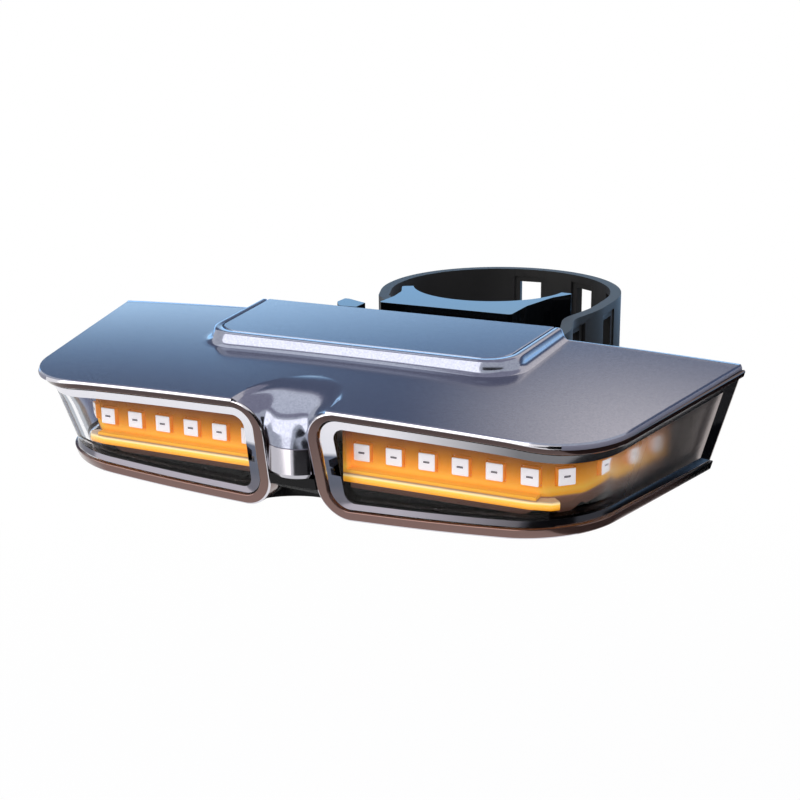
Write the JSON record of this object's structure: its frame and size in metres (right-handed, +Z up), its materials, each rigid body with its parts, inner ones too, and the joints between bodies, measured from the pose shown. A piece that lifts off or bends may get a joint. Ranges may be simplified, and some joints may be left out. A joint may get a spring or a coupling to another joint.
{
  "type": "bicycle tail light",
  "caption": "Wide wing-shaped bicycle tail light with wrap-round clear lenses either side of a chrome nose, on a rail bracket with a saddle and rubber strap for a seatpost.",
  "frame": {"origin": "on the axis of the seatpost that the saddle sits on, at the middle of the saddle block's height", "axes": "+Z up along the seatpost, +Y from the light towards the seatpost (forwards on the bicycle), +X across the light"},
  "size_m": [0.101, 0.0952, 0.0223],
  "materials": {
    "cover_paint": "satin metallic gunmetal paint, fine grain",
    "inlay_paint": "satin metallic gunmetal paint",
    "nose_metal": "satin chrome plating",
    "housing_black": "moulded, low gloss",
    "rubber_black": "matte",
    "bezel_bronze": "polished, metallised bronze grey",
    "lens_clear": "polished clear acrylic",
    "reflector_amber": "metallised, lit amber",
    "guide_yellow": "clear diffuser, lit",
    "board_white": "solder mask",
    "led_white": "moulded lamp package",
    "ribbon_amber": "polyimide film",
    "board_green": "solder mask",
    "chip_black": "moulded epoxy",
    "foam_grey": "foam tape",
    "battery_foil": "laminated foil pouch",
    "lead_red": "lead insulation",
    "connector_white": "moulded nylon",
    "socket_steel": "drawn shell",
    "switch_metal": "stamped cover",
    "screw_steel": "plated",
    "spring_steel": "rolled strip",
    "button_rubber": "matte silicone",
    "plunger_black": "moulded",
    "flap_rubber": "matte silicone",
    "saddle_black": "moulded nylon, half gloss",
    "pad_rubber": "matte, soft",
    "strap_rubber": "moulded, satin",
    "screw_black": "black oxide"
  },
  "bodies": {
    "mount": {"saddle_block": "saddle_black", "saddle_pad": "pad_rubber", "strap": "strap_rubber", "rail_bracket": "saddle_black", "bracket_screw": "screw_black"},
    "light": {"top_housing": "cover_paint", "top_inlay_plate": "inlay_paint", "nose_trim": "nose_metal", "bottom_housing": "housing_black", "housing_seal": "rubber_black", "bezel_left": "bezel_bronze", "bezel_right": "bezel_bronze", "lens_left": "lens_clear", "lens_right": "lens_clear", "lens_gasket_left": "rubber_black", "lens_gasket_right": "rubber_black", "reflector_left": "reflector_amber", "reflector_right": "reflector_amber", "light_guide_left": "guide_yellow", "light_guide_right": "guide_yellow", "led_board_left": "board_white", "led_board_right": "board_white", "leds_left": "led_white", "leds_right": "led_white", "led_ribbons": "ribbon_amber", "main_board": "board_green", "board_components": "chip_black", "battery_pad": "foam_grey", "battery_cell": "battery_foil", "battery_leads": "lead_red", "lead_connector": "connector_white", "usb_socket": "socket_steel", "tact_switch": "switch_metal", "housing_screws": "screw_steel", "board_screws": "screw_steel", "rail_socket": "housing_black", "socket_screws": "screw_steel", "detent_spring": "spring_steel"},
    "button": {"power_button": "button_rubber", "switch_plunger": "plunger_black"},
    "charging_flap": {"usb_cover": "flap_rubber"}
  },
  "joints": [
    {"name": "light_slide", "type": "slide", "parent": "mount", "child": "light", "axis": [0, 0, 1], "range_m": [0, 0.02], "deforming": ["detent_spring"]},
    {"name": "power_button_press", "type": "slide", "parent": "light", "child": "button", "axis": [0, 0, 1], "range_m": [0, 0.0004], "stiffness_N_per_m": 4000, "springref_m": -0.0003},
    {"name": "charging_flap_hinge", "type": "hinge", "parent": "light", "child": "charging_flap", "pos_m": [0.022, -0.0336, 0.0027], "axis": [1, 0, 0], "range_deg": [0, 110], "stiffness_Nm_per_rad": 0.001}
  ]
}
